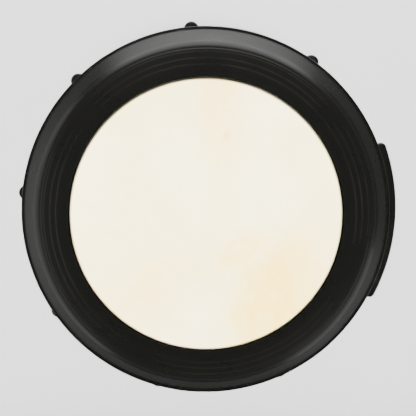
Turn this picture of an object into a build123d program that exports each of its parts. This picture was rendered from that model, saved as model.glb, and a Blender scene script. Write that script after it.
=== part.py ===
"""A bass darbuka: a cast goblet drum with a natural skin, pulled tight by a bolted rim.

The frame has its origin on the floor under the middle of the foot, +Z up along the drum's axis.
Every size is in millimetres. Pieces are turned about +Z, so most are drawn as a section in (radius, height).
"""

import math
import os

from build123d import *

# ---------------------------------------------------------------- whole drum
DRUM_HEIGHT = 480.0  # floor to the top of the skin
PLAYING_RADIUS = 138.0  # bore of the rim, where the skin shows
THROAT_RADIUS = 80.0  # outside of the narrowest place
FOOT_RADIUS = 131.0  # outside of the cast foot
SHELL_WALL = 4.5  # cast wall of the bowl and the foot

# ---------------------------------------------------------------- tension bolts
BOLT_COUNT = 9
FIRST_BOLT_DEG = 94.5  # counted from +X towards +Y
BOLT_RADIUS = 3.0  # M6
THREAD_CLEARANCE = 0.05  # bolt to threaded bush, on the radius
HOLE_CLEARANCE = 0.3  # bolt to the hole in the ear, and to the washer
THREAD_ENGAGED = 12.0
BOLT_TIP_CHAMFER = 0.8
HEX_ACROSS_FLATS = 10.0
HEX_HEIGHT = 4.2
HEX_TURNED = 0.9  # how far the turned crown cuts in from the corners of the head
HEX_CROWN_SLOPE = 1.2
WASHER_RADIUS = 6.0
WASHER_THICKNESS = 1.6
BUSH_WALL = 1.5
BUSH_COVER = 3.4  # rim left outside the bush, on the radius
TIP_ROOM = 2.0  # blind hole beyond the tip of the bolt

# ---------------------------------------------------------------- skin and hoop
SKIN_THICKNESS = 0.6
HOOP_WIDTH = 6.0
HOOP_HEIGHT = 6.0
HOOP_DEPTH = 16.0  # top of the skin to the top of the hoop
HOOP_CORNER = 1.0
LAP_GAP = 0.05  # skin to what it is wrapped round
SKIN_FOLD = 1.0  # bend where the skin comes down onto the hoop
TUCK_GAP = 1.0  # the tucked end stops this far short of the top of the hoop
HOOP_ROOM = 9.0  # under the hoop, for a skin that stretches

# ---------------------------------------------------------------- rim
LIP_DEPTH = 1.0  # top of the skin down to the lip of the rim
LIP_ROUND = 1.6
FACE_WIDTH = 33.5
FACE_DROP = 9.0
FACE_BULGE = 0.7  # how far the middle of the face stands above a straight cone
EDGE_ROUND = 13.0
SKIRT_WIDTH = 14.2
SKIRT_DROP = 22.0
BAND_STEP = 2.8
BAND_HEIGHT = 14.5
BAND_ROUND = 1.8
RIM_WALL = 5.0
NECK_GAP = 1.2  # skin to the bore of the rim, where it goes over the bearing edge
RIM_STEP_IN = 1.0  # underside of the skirt down to the base's inner edge
RIM_CORNER_ROUND = 0.8
RIM_ROOT_ROUND = 3.0

# ---------------------------------------------------------------- head of the shell
BEARING_WIDTH = 5.0
BEARING_ROUND = 2.45  # nearly half its width, so the top stays a narrow flat
SHELF_THICKNESS = 5.0
SHELF_FALL = 6.0
SHELF_ROUND = 3.0
RIM_GAP = 4.0  # bottom of the rim to the flange
FLANGE_THICKNESS = 8.0
FLANGE_INSET = 2.0  # rim to the flange, on the radius
EAR_WIDTH = 15.0
EAR_REACH = 5.6  # how far the ears stand out past the rim
EAR_ROOT_ROUND = 4.0
GRIP_REACH = 9.0  # how far the flange's wide part, a grip for the hand, stands out past the rim
GRIP_SPAN_DEG = 49.5
GRIP_SHIFT_DEG = 1.75  # how far its middle is turned from midway between two bolts
GRIP_CORNER_ROUND = 5.0
EAR_TOP_ROUND = 2.6
WRENCH_ROOM = 15.5  # axis of a bolt to the bowl
FLANGE_ROOT_ROUND = 6.0
ROOT_BITE = 0.3  # how far the root's rounding runs into the tapered wall
SHOULDER_ROUND = 7.0
HEAD_CORNER_ROUND = 2.0

# ---------------------------------------------------------------- bowl, throat and foot
BOWL_TAPER_DEG = 3.0
BOWL_SIDE = 84.0
BELLY_RADIUS = 84.0
BELLY_SLOPE_DEG = 52.0
NECK_RADIUS = 60.0  # sweep from the belly into the throat
THROAT_LENGTH = 20.0  # straight part of the bowl's neck
SPIGOT_LENGTH = 19.0
SPIGOT_CLEARANCE = 0.1
STEM_SHOULDER = 1.5  # height of the shoulder the bowl stands on, in walls
STEM_LENGTH = 14.0
FOOT_LIP_RADIUS = 16.0
FOOT_EDGE = 6.0  # upright part at the bottom of the foot
GROOVE_WIDTH = 2.0
GROOVE_DEPTH = 0.9
GROOVE_SPACING = 6.0
HIGH_GROOVE_DROP = 18.0  # flange down to the upper pair of grooves
LOW_GROOVE_RISE = 10.0  # lower pair of grooves above the end of the bowl's side
FOOT_GROOVE_RISE = 12.0  # the foot's groove above its rubber

# ---------------------------------------------------------------- throat ring and its screws
RING_THICKNESS = 3.5
RING_CLEARANCE = 0.05
RING_BEAD = 2.5
RING_BEAD_INSET = 3.75  # middle of a bead to the ring's end
RING_BEAD_SINK = 0.4  # middle of a bead below the ring's face
RING_END_ROUND = 1.75
RING_HEIGHT = 26.0
RING_OFFSET = 6.0  # middle of the ring, where its screws are, above the seam
SCREW_COUNT = 6
SCREW_RADIUS = 2.0
SCREW_CLEARANCE = 0.1
SCREW_SHORT = 0.5  # end of a screw to the spigot's inner face
SCREW_HOLE_RUN = 40.0
SCREW_HEAD_RADIUS = 3.8
SCREW_HEAD_HEIGHT = 2.2
SCREW_HEAD_RIM = 0.5
SOCKET_RADIUS = 1.45  # hexagon socket, to its corners
SOCKET_DEPTH = 1.3

# ---------------------------------------------------------------- rubber edge of the foot
RUBBER_SIDE = 3.0
RUBBER_BASE = 5.0
RUBBER_COVER = 9.0  # how far it reaches up the casting
RUBBER_ROUND = 1.6

# ---------------------------------------------------------------- worked out
BUSH_RADIUS = BOLT_RADIUS + BUSH_WALL
EDGE_RADIUS = PLAYING_RADIUS + FACE_WIDTH
SKIRT_RADIUS = EDGE_RADIUS + SKIRT_WIDTH
RIM_RADIUS = SKIRT_RADIUS + BAND_STEP
BOLT_CIRCLE = RIM_RADIUS - BUSH_COVER - BUSH_RADIUS
RIM_INNER = BOLT_CIRCLE - BUSH_RADIUS - BUSH_COVER
BOWL_RADIUS = BOLT_CIRCLE - WRENCH_ROOM
FLANGE_RADIUS = RIM_RADIUS - FLANGE_INSET
EAR_CENTRE = RIM_RADIUS + EAR_REACH - EAR_WIDTH / 2
GRIP_RADIUS = RIM_RADIUS + GRIP_REACH

BEARING_OUTER = PLAYING_RADIUS - NECK_GAP - SKIN_THICKNESS
BEARING_INNER = BEARING_OUTER - BEARING_WIDTH
HOOP_INNER = PLAYING_RADIUS + SKIN_THICKNESS

SPIGOT_OUTER = THROAT_RADIUS - SHELL_WALL - SPIGOT_CLEARANCE
SPIGOT_INNER = SPIGOT_OUTER - SHELL_WALL
RING_OUTER = THROAT_RADIUS + RING_THICKNESS
SCREW_LENGTH = RING_OUTER - SPIGOT_INNER - SCREW_SHORT

Z_BEARING = DRUM_HEIGHT - SKIN_THICKNESS - LAP_GAP
Z_HOOP_TOP = DRUM_HEIGHT - HOOP_DEPTH
Z_NECK = Z_HOOP_TOP + LAP_GAP + SKIN_THICKNESS
Z_HOOP_BOTTOM = Z_HOOP_TOP - HOOP_HEIGHT
Z_SHELF = Z_HOOP_BOTTOM - SKIN_THICKNESS - HOOP_ROOM
Z_LIP = DRUM_HEIGHT - LIP_DEPTH
Z_EDGE = Z_LIP - FACE_DROP
Z_BAND = Z_EDGE - SKIRT_DROP
Z_RIM = Z_BAND - BAND_HEIGHT
Z_FLANGE = Z_RIM - RIM_GAP
Z_EAR = Z_FLANGE - FLANGE_THICKNESS
Z_FOOT = RUBBER_BASE

BOLT_ANGLES = [FIRST_BOLT_DEG + 360 / BOLT_COUNT * k for k in range(BOLT_COUNT)]
GRIP_DEG = FIRST_BOLT_DEG - 360 / BOLT_COUNT * 2.5 + GRIP_SHIFT_DEG
SCREW_ANGLES = [GRIP_DEG + 360 / SCREW_COUNT * k for k in range(SCREW_COUNT)]


def turned(section):
    """The solid that a (radius, height) section sweeps about the drum's axis."""
    return revolve(Plane.XZ * section, Axis.Z)


def around(angle, part):
    """part, which is drawn at +X, turned to stand at angle."""
    return Rot(0, 0, angle) * part


def corners(shape, *points):
    """The corners of a section that lie at these points."""
    return [v for v in shape.vertices() if any((Vector(*p) - Vector(v)).length < 0.01 for p in points)]


def rounded(shape, radius, *points):
    """A section with the corners at these points rounded."""
    return fillet(corners(shape, *points), radius)


def walk(start, heading, moves, inset=0.0):
    """Lines and tangent arcs from start. A move is a length, or (radius, turn in degrees, left positive).

    inset shifts the whole path to its right-hand side, as a wall's inner face follows its outer one.
    """
    side = Vector(math.sin(math.radians(heading)), -math.cos(math.radians(heading)))
    at = Vector(*start) + side * inset
    path = []
    for move in moves:
        ahead = Vector(math.cos(math.radians(heading)), math.sin(math.radians(heading)))
        if isinstance(move, tuple):
            radius, turn = move
            radius += inset if turn > 0 else -inset
            path.append(JernArc(at, ahead, radius, turn))
            heading += turn
        else:
            path.append(Line(at, at + ahead * move))
        at = path[-1] @ 1
    return path


def wall_section(start, heading, moves, thickness):
    """A wall whose outer face is a walk, and whose inner face is on the walk's right-hand side."""
    outer = walk(start, heading, moves)
    inner = walk(start, heading, moves, thickness)
    return make_face([*outer, Line(outer[-1] @ 1, inner[-1] @ 1), *inner, Line(inner[0] @ 0, outer[0] @ 0)])


# ---------------------------------------------------------------- bowl


def belly_moves():
    """The bowl's side, belly, slope and neck, from the flange down to the throat."""
    taper, slope = math.radians(BOWL_TAPER_DEG), math.radians(BELLY_SLOPE_DEG)
    side_in = BOWL_SIDE * math.sin(taper)
    belly_in = BELLY_RADIUS * (math.cos(taper) - math.cos(slope))
    neck_in = NECK_RADIUS * (1 - math.cos(slope))
    straight = (BOWL_RADIUS - THROAT_RADIUS - side_in - belly_in - neck_in) / math.sin(slope)
    return [
        BOWL_SIDE,
        (BELLY_RADIUS, BOWL_TAPER_DEG - BELLY_SLOPE_DEG),
        straight,
        (NECK_RADIUS, BELLY_SLOPE_DEG),
        THROAT_LENGTH,
    ]


def seam_height():
    """Where the bowl's neck ends and the foot's shoulder meets it."""
    path = walk((BOWL_RADIUS, Z_EAR), -90 - BOWL_TAPER_DEG, belly_moves())
    return (path[-1] @ 1).Y


Z_SEAM = seam_height()


def head_section():
    """Bearing edge, shelf and upper wall: the part of the bowl that the rim covers."""
    inner = BOWL_RADIUS - SHELL_WALL
    shelf_out = Z_SHELF - SHELF_FALL
    outline = [
        (BEARING_INNER, Z_SHELF - SHELF_THICKNESS),
        (BEARING_INNER, Z_BEARING),
        (BEARING_OUTER, Z_BEARING),
        (BEARING_OUTER, Z_SHELF),
        (BOWL_RADIUS, shelf_out),
        (BOWL_RADIUS, Z_FLANGE),
        (FLANGE_RADIUS - EAR_TOP_ROUND, Z_FLANGE),
        (FLANGE_RADIUS - EAR_TOP_ROUND, Z_EAR),
        (BOWL_RADIUS, Z_EAR),
        (inner, Z_EAR),
        (inner, shelf_out - SHELF_THICKNESS),
    ]
    section = make_face(Polyline(*outline, close=True))
    section = rounded(section, BEARING_ROUND, outline[1], outline[2])
    section = rounded(section, SHOULDER_ROUND, outline[4])
    section = rounded(section, HEAD_CORNER_ROUND, outline[3], outline[5])
    return rounded(section, SHELF_ROUND, outline[0], outline[10])


def grooves(radius, height, count):
    """Turned grooves in a wall of this radius, from this height down."""
    groove = Circle(GROOVE_WIDTH / 2)
    middle = radius + GROOVE_WIDTH / 2 - GROOVE_DEPTH
    return turned(Sketch() + [Pos(middle, height - GROOVE_SPACING * k) * groove for k in range(count)])


def flange_grip():
    """The wide part of the flange, as a sector that reaches past the ears at its ends."""
    half = math.radians(GRIP_SPAN_DEG / 2)
    far = 2 * GRIP_RADIUS * math.cos(half), 2 * GRIP_RADIUS * math.sin(half)
    wedge = make_face(Polyline((0, 0), (far[0], -far[1]), far, close=True))
    return around(GRIP_DEG, Circle(GRIP_RADIUS) & wedge)


def eared_flange():
    """The flange's outer edge with one rounded ear at each bolt, and its grip."""
    ear = Pos(EAR_CENTRE, 0) * Circle(EAR_WIDTH / 2)
    outline = Circle(FLANGE_RADIUS) + [around(a, ear) for a in BOLT_ANGLES] + flange_grip()
    plate = Pos(0, 0, Z_EAR) * extrude(outline, FLANGE_THICKNESS)
    upright = plate.edges().filter_by(Axis.Z)
    ends = [e for e in upright if math.hypot(e.center().X, e.center().Y) > GRIP_RADIUS - EAR_REACH / 2]
    plate = fillet(ends, GRIP_CORNER_ROUND)
    upright = plate.edges().filter_by(Axis.Z)
    roots = [e for e in upright if math.hypot(e.center().X, e.center().Y) < FLANGE_RADIUS + EAR_REACH / 2]
    plate = fillet(roots, EAR_ROOT_ROUND)
    plate = fillet(plate.faces().sort_by(Axis.Z)[-1].edges(), EAR_TOP_ROUND)
    middle = Cylinder(BOWL_RADIUS - SHELL_WALL / 2, FLANGE_THICKNESS)
    return plate - Pos(0, 0, Z_EAR + FLANGE_THICKNESS / 2) * middle


def bowl():
    """Upper casting, from the bearing edge down to the seam in the throat."""
    heading = -90 - BOWL_TAPER_DEG
    wall = wall_section((BOWL_RADIUS, Z_EAR), heading, belly_moves(), SHELL_WALL)
    root = FLANGE_ROOT_ROUND
    inside = BOWL_RADIUS - SHELL_WALL / 2
    root_out, root_low = (BOWL_RADIUS + root, Z_EAR), (BOWL_RADIUS - ROOT_BITE, Z_EAR - root)
    web = make_face(
        [
            Line((inside, Z_EAR), root_out),
            RadiusArc(root_out, root_low, -root),
            Line(root_low, (inside, Z_EAR - root)),
            Line((inside, Z_EAR - root), (inside, Z_EAR)),
        ]
    )
    shell = turned(head_section()) + turned(wall) + turned(web) + eared_flange()
    side = math.radians(BOWL_TAPER_DEG)
    for drop in (HIGH_GROOVE_DROP, BOWL_SIDE - LOW_GROOVE_RISE):
        shell -= grooves(BOWL_RADIUS - drop * math.tan(side), Z_EAR - drop, 2)
    hole = Cylinder(BOLT_RADIUS + HOLE_CLEARANCE, FLANGE_THICKNESS * 3)
    shell -= [around(a, Pos(BOLT_CIRCLE, 0, Z_EAR) * hole) for a in BOLT_ANGLES]
    return shell - [around(a, screw_hole(SCREW_RADIUS + SCREW_CLEARANCE)) for a in SCREW_ANGLES]


# ---------------------------------------------------------------- throat and foot


def screw_hole(radius):
    """A hole on +X through the throat, where one screw goes."""
    return Pos(THROAT_RADIUS, 0, Z_SEAM + RING_OFFSET) * Rot(0, 90, 0) * Cylinder(radius, SCREW_HOLE_RUN)


def foot_moves():
    """The stem and the flare that brings it out to the foot, then the lip and the upright edge."""
    drop = Z_SEAM - STEM_LENGTH - Z_FOOT - FOOT_EDGE
    out = FOOT_RADIUS - THROAT_RADIUS
    # The flare and the lip turn by one angle, in opposite ways, and share one span.
    total = (drop**2 + out**2) / (2 * out)
    flare = total - FOOT_LIP_RADIUS
    turn = math.degrees(math.asin(drop / total))
    return [STEM_LENGTH, (flare, turn), (FOOT_LIP_RADIUS, -turn), FOOT_EDGE]


def foot_bell():
    """Lower casting: a spigot that goes up into the bowl, the stem and the flared foot."""
    wall = wall_section((THROAT_RADIUS, Z_SEAM), -90, foot_moves(), SHELL_WALL)
    shoulder = Z_SEAM - SHELL_WALL * STEM_SHOULDER
    spigot = Polyline(
        (SPIGOT_INNER, shoulder - SHELL_WALL),
        (THROAT_RADIUS - SHELL_WALL, shoulder - SHELL_WALL),
        (THROAT_RADIUS - SHELL_WALL / 2, shoulder),
        (THROAT_RADIUS - SHELL_WALL / 2, Z_SEAM),
        (SPIGOT_OUTER, Z_SEAM),
        (SPIGOT_OUTER, Z_SEAM + SPIGOT_LENGTH),
        (SPIGOT_INNER, Z_SEAM + SPIGOT_LENGTH),
        close=True,
    )
    bell = turned(wall) + turned(make_face(spigot))
    groove_height = Z_FOOT + FOOT_EDGE + RUBBER_COVER + FOOT_GROOVE_RISE
    bell -= grooves(flare_radius(groove_height), groove_height, 1)
    return bell - [around(a, screw_hole(SCREW_RADIUS)) for a in SCREW_ANGLES]


def flare_radius(height):
    """Outside radius of the foot's flare at a height."""
    (flare, _turn) = foot_moves()[1]
    rise = Z_SEAM - STEM_LENGTH - height
    return THROAT_RADIUS + flare - math.sqrt(flare**2 - rise**2)


def throat_ring():
    """A beaded ring round the throat. It covers the seam and takes the screws."""
    low = Z_SEAM + RING_OFFSET - RING_HEIGHT / 2
    high = low + RING_HEIGHT
    inner, outer = THROAT_RADIUS + RING_CLEARANCE, RING_OUTER
    section = make_face(Polyline((inner, low), (outer, low), (outer, high), (inner, high), close=True))
    section = rounded(section, RING_END_ROUND, (outer, low), (outer, high))
    bead_heights = (low + RING_BEAD_INSET, high - RING_BEAD_INSET)
    ring = turned(section + [Pos(outer - RING_BEAD_SINK, z) * Circle(RING_BEAD) for z in bead_heights])
    return ring - [around(a, screw_hole(SCREW_RADIUS + SCREW_CLEARANCE)) for a in SCREW_ANGLES]


def throat_screw():
    """A round-headed screw through the ring and the bowl into the spigot."""
    top, side = (0, SCREW_HEAD_HEIGHT), (SCREW_HEAD_RADIUS, SCREW_HEAD_RIM)
    under = Polyline(top, (0, 0), (SCREW_HEAD_RADIUS, 0), side)
    cap = turned(make_face([*under.edges(), TangentArc(top, side, tangent=(1, 0))]))
    socket = extrude(RegularPolygon(SOCKET_RADIUS, 6), SCREW_HEAD_HEIGHT)
    hanging = (Align.CENTER, Align.CENTER, Align.MAX)
    shank = Cylinder(SCREW_RADIUS, SCREW_LENGTH + SCREW_HEAD_RIM, align=hanging)
    screw = cap - Pos(0, 0, SCREW_HEAD_HEIGHT - SOCKET_DEPTH) * socket + Pos(0, 0, SCREW_HEAD_RIM) * shank
    return Pos(RING_OUTER + RING_CLEARANCE, 0, Z_SEAM + RING_OFFSET) * Rot(0, 90, 0) * screw


def foot_rubber():
    """A moulded rubber channel pressed over the edge of the foot. The drum stands on it."""
    inner, outer = FOOT_RADIUS - SHELL_WALL - RUBBER_SIDE, FOOT_RADIUS + RUBBER_SIDE
    top = Z_FOOT + RUBBER_COVER
    middle = Pos((inner + outer) / 2, top / 2)
    block = turned(middle * RectangleRounded(outer - inner, top, RUBBER_ROUND))
    return block - foot_bell()


# ---------------------------------------------------------------- head


def flesh_hoop():
    """The steel hoop that the skin is lapped round."""
    middle = Pos(HOOP_INNER + HOOP_WIDTH / 2, Z_HOOP_TOP - HOOP_HEIGHT / 2)
    return turned(middle * RectangleRounded(HOOP_WIDTH, HOOP_HEIGHT, HOOP_CORNER))


def skin():
    """One goat skin: flat over the drum, down past the bearing edge, and lapped round the hoop."""
    over = BEARING_WIDTH / 2 + LAP_GAP + SKIN_THICKNESS
    corner = HOOP_CORNER + LAP_GAP + SKIN_THICKNESS
    crown = Vector(BEARING_OUTER - BEARING_WIDTH / 2, DRUM_HEIGHT - over)
    fold = Vector(PLAYING_RADIUS, Z_NECK + SKIN_FOLD)
    # The straight part is the common tangent of the bend over the edge and the fold onto the hoop.
    span, reach = fold - crown, over + SKIN_FOLD
    lean = math.degrees(math.atan2(span.X, -span.Y) - math.asin(reach / span.length))
    straight = math.sqrt(span.length**2 - reach**2)
    top_flat = HOOP_INNER + HOOP_WIDTH - HOOP_CORNER - PLAYING_RADIUS
    moves = [
        crown.X,
        (over, lean - 90),
        straight,
        (SKIN_FOLD, 90 - lean),
        top_flat,
        (corner, -90),
        HOOP_HEIGHT - 2 * HOOP_CORNER,
        (corner, -90),
        HOOP_WIDTH - 2 * HOOP_CORNER,
        (corner, -90),
        HOOP_HEIGHT - HOOP_CORNER - TUCK_GAP,
    ]
    return turned(wall_section((0, DRUM_HEIGHT), 0, moves, SKIN_THICKNESS))


# ---------------------------------------------------------------- rim


def rim():
    """The cast rim: a neck that presses on the hoop, a sloping face, a skirt and a bored base ring."""
    face_middle = (PLAYING_RADIUS + FACE_WIDTH / 2, Z_LIP - FACE_DROP / 2 + FACE_BULGE)
    neck_width = HOOP_WIDTH + SKIN_THICKNESS
    neck_out = PLAYING_RADIUS + neck_width
    lip, edge = (PLAYING_RADIUS, Z_LIP), (EDGE_RADIUS, Z_EDGE)
    skirt, band = (SKIRT_RADIUS, Z_BAND), (RIM_RADIUS, Z_BAND)
    base, base_in = (RIM_RADIUS, Z_RIM), (RIM_INNER, Z_RIM)
    # The inside of the skirt runs one wall in from its outside, measured square to it.
    lean = math.hypot(SKIRT_WIDTH, SKIRT_DROP)
    under_edge = (EDGE_RADIUS + RIM_WALL * (SKIRT_WIDTH - lean) / SKIRT_DROP, Z_EDGE - RIM_WALL)
    under_lip = (neck_out, Z_LIP - RIM_WALL - FACE_DROP * neck_width / FACE_WIDTH)
    outline = [
        Line((neck_out, Z_NECK), (PLAYING_RADIUS, Z_NECK)),
        Line((PLAYING_RADIUS, Z_NECK), lip),
        ThreePointArc(lip, face_middle, edge),
        Line(edge, skirt),
        Line(skirt, band),
        Line(band, base),
        Line(base, base_in),
        Line(base_in, (RIM_INNER, Z_BAND - RIM_STEP_IN)),
        Line((RIM_INNER, Z_BAND - RIM_STEP_IN), under_edge),
        Line(under_edge, under_lip),
        Line(under_lip, (neck_out, Z_NECK)),
    ]
    section = make_face(outline)
    section = rounded(section, LIP_ROUND, lip)
    section = rounded(section, EDGE_ROUND, edge)
    section = rounded(section, BAND_ROUND, band)
    section = rounded(section, RIM_CORNER_ROUND, skirt, base)
    section = rounded(section, RIM_ROOT_ROUND, under_edge)
    ring = turned(section)
    depth = THREAD_ENGAGED + TIP_ROOM
    hole = Pos(BOLT_CIRCLE, 0, Z_RIM + depth / 2) * Cylinder(BOLT_RADIUS + THREAD_CLEARANCE, depth)
    seat = Pos(BOLT_CIRCLE, 0, Z_RIM + THREAD_ENGAGED / 2) * Cylinder(BUSH_RADIUS, THREAD_ENGAGED)
    return ring - [around(a, hole + seat) for a in BOLT_ANGLES]


def thread_bush():
    """A steel bush, threaded inside, pressed into the base of the rim."""
    body = Cylinder(BUSH_RADIUS, THREAD_ENGAGED) - Cylinder(BOLT_RADIUS + THREAD_CLEARANCE, THREAD_ENGAGED)
    return Pos(BOLT_CIRCLE, 0, Z_RIM + THREAD_ENGAGED / 2) * body


# ---------------------------------------------------------------- bolts


def tension_bolt():
    """An M6 hexagon bolt that comes up through an ear and pulls the rim down."""
    length = WASHER_THICKNESS + FLANGE_THICKNESS + RIM_GAP + THREAD_ENGAGED
    z_head = Z_EAR - WASHER_THICKNESS
    corner = HEX_ACROSS_FLATS / math.sqrt(3)
    head = extrude(RegularPolygon(corner, 6), HEX_HEIGHT)
    standing = (Align.CENTER, Align.CENTER, Align.MIN)
    crown = Cone(corner - HEX_TURNED, corner + HEX_HEIGHT * HEX_CROWN_SLOPE, HEX_HEIGHT, align=standing)
    shank = Cylinder(BOLT_RADIUS, length, align=standing)
    shank = chamfer(shank.edges().sort_by(Axis.Z)[-1], BOLT_TIP_CHAMFER)
    bolt = Pos(0, 0, z_head - HEX_HEIGHT) * (head & crown) + Pos(0, 0, z_head) * shank
    return Pos(BOLT_CIRCLE, 0, 0) * bolt


def bolt_washer():
    """A plain washer between the head of a bolt and its ear."""
    hole = Cylinder(BOLT_RADIUS + HOLE_CLEARANCE, WASHER_THICKNESS)
    body = Cylinder(WASHER_RADIUS, WASHER_THICKNESS) - hole
    return Pos(BOLT_CIRCLE, 0, Z_EAR - WASHER_THICKNESS / 2) * body


# ---------------------------------------------------------------- every node


def nodes():
    """Each separate piece, by the name of its node."""
    made = {
        "bowl": bowl(),
        "foot_bell": foot_bell(),
        "throat_ring": throat_ring(),
        "foot_rubber": foot_rubber(),
        "flesh_hoop": flesh_hoop(),
        "skin": skin(),
        "rim": rim(),
    }
    for k, angle in enumerate(BOLT_ANGLES, 1):
        made[f"tension_bolt_{k}"] = around(angle, tension_bolt())
        made[f"bolt_washer_{k}"] = around(angle, bolt_washer())
        made[f"thread_bush_{k}"] = around(angle, thread_bush())
    for k, angle in enumerate(SCREW_ANGLES, 1):
        made[f"throat_screw_{k}"] = around(angle, throat_screw())
    return made


if __name__ == "__main__":
    os.makedirs("parts", exist_ok=True)
    for name, shape in nodes().items():
        export_step(shape, f"parts/{name}.step")
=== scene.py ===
"""A bass darbuka in black lacquer and goat skin, put together from the foot up around its frame."""

import math

import bpy
from mathutils import Matrix, Vector


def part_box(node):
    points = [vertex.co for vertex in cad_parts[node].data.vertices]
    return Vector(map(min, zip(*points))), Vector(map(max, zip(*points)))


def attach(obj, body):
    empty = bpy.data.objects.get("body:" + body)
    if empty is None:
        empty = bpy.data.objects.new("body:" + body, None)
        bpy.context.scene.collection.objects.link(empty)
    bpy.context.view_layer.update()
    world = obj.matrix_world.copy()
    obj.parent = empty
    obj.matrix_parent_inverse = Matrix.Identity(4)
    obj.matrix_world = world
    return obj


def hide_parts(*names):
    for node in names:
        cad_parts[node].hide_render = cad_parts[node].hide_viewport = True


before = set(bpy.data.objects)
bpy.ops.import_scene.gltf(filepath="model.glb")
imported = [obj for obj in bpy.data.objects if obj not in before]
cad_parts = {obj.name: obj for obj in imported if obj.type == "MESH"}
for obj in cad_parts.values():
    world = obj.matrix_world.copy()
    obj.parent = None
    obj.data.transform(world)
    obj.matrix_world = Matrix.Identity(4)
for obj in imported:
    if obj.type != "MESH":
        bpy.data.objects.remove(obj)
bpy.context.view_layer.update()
bpy.ops.object.select_all(action="DESELECT")


# ------------------------------------------------------------------------------------------------
# Foot casting. An aluminium bell, sand cast and turned outside, with a spigot that goes up into the
# bowl's neck. The outside is filled, rubbed down and sprayed gloss black; the inside keeps the grain
# of the sand under one thin coat.

LACQUER_BLACK = (0.0019, 0.00192, 0.00165, 1.0)
LACQUER_WORN = (0.0105, 0.0102, 0.0085, 1.0)
LACQUER_DUST = (0.02, 0.019, 0.017, 1.0)
LACQUER_SHEEN = 0.14
INSIDE_GREY = (0.012, 0.0115, 0.011, 1.0)
PEEL_SHARE = 0.35  # height of the orange peel against the sags
SAG_SCALE = 38.0
DUST_SHARE = 0.16  # of the film's cells that hold a speck, at full dust
SHALLOW_BUMP = 0.00006
FILM_BUMP = 0.00005
SAND_BUMP = 0.0005


def place(tree, kind, inputs=None, **settings):
    """A node of this kind. Each input is given a value, or the socket that feeds it."""
    node = tree.nodes.new(kind)
    for key, value in settings.items():
        setattr(node, key, value)
    for key, value in (inputs or {}).items():
        if isinstance(value, bpy.types.NodeSocket):
            tree.links.new(value, node.inputs[key])
        else:
            node.inputs[key].default_value = value
    return node


def maths(tree, operation, *values):
    """The result of one sum on values or sockets."""
    return place(tree, "ShaderNodeMath", dict(enumerate(values)), operation=operation).outputs[0]


def vector_maths(tree, operation, *values):
    """The result of one sum on vectors, which is a number for a length or a dot product."""
    node = place(tree, "ShaderNodeVectorMath", dict(enumerate(values)), operation=operation)
    return node.outputs["Value" if operation in ("LENGTH", "DOT_PRODUCT") else "Vector"]


def own_point(tree):
    """The point being shaded, in the drum's own metres."""
    return place(tree, "ShaderNodeTexCoord").outputs["Object"]


def noise(tree, point, scale, detail=2.0, roughness=0.5):
    """Cloudy noise from 0 to 1, most of it near a half."""
    inputs = {"Vector": point, "Scale": scale, "Detail": detail, "Roughness": roughness}
    return place(tree, "ShaderNodeTexNoise", inputs).outputs["Fac"]


def blend_colours(tree, mask, first, second):
    """first where the mask is 0, second where it is 1."""
    return place(tree, "ShaderNodeMix", {0: mask, 6: first, 7: second}, data_type="RGBA").outputs[2]


def step_between(tree, value, low, high, out_low=0.0, out_high=1.0):
    """value eased from low to high into out_low to out_high."""
    inputs = {"Value": value, "From Min": low, "From Max": high, "To Min": out_low, "To Max": out_high}
    return place(tree, "ShaderNodeMapRange", inputs, interpolation_type="SMOOTHSTEP").outputs[0]


def new_group(name, inputs, outputs):
    """An empty node group. inputs are (name, value), outputs are (name, kind)."""
    group = bpy.data.node_groups.new(name, "ShaderNodeTree")
    for label, value in inputs:
        kind = "NodeSocketColor" if isinstance(value, tuple) else "NodeSocketFloat"
        group.interface.new_socket(label, in_out="INPUT", socket_type=kind).default_value = value
    for label, kind in outputs:
        group.interface.new_socket(label, in_out="OUTPUT", socket_type=kind)
    return group, group.nodes.new("NodeGroupInput"), group.nodes.new("NodeGroupOutput")


def use_group(tree, group, **inputs):
    """The group placed in a material with its own values."""
    node = tree.nodes.new("ShaderNodeGroup")
    node.node_tree = group
    for key, value in inputs.items():
        socket = node.inputs[key.replace("_", " ")]
        if isinstance(value, bpy.types.NodeSocket):
            tree.links.new(value, socket)
        else:
            socket.default_value = value
    return node


def axis_distance(tree, point):
    """How far a point is from the drum's axis, and the point brought down to the floor."""
    level = vector_maths(tree, "MULTIPLY", point, (1, 1, 0))
    return vector_maths(tree, "LENGTH", level), level


def turning_lines():
    """Fine rings left by the lathe tool and the rubbing down, about the drum's axis."""
    group, given, out = new_group(
        "turning_lines",
        [("Spacing", 0.002), ("Wander", 0.0004)],
        [("Height", "NodeSocketFloat")],
    )
    point = own_point(group)
    radius, _ = axis_distance(group, point)
    height = place(group, "ShaderNodeSeparateXYZ", {0: point}).outputs["Z"]
    drift = noise(group, point, 14.0, 1.0)
    drift = maths(group, "MULTIPLY", maths(group, "SUBTRACT", drift, 0.5), given.outputs["Wander"])
    across = maths(group, "DIVIDE", maths(group, "ADD", radius, drift), given.outputs["Spacing"])
    down = maths(group, "DIVIDE", maths(group, "ADD", height, drift), given.outputs["Spacing"])
    on_section = place(group, "ShaderNodeCombineXYZ", {0: across, 1: down}).outputs[0]
    group.links.new(noise(group, on_section, 1.0, 4.0, 0.65), out.inputs["Height"])
    return group


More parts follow.
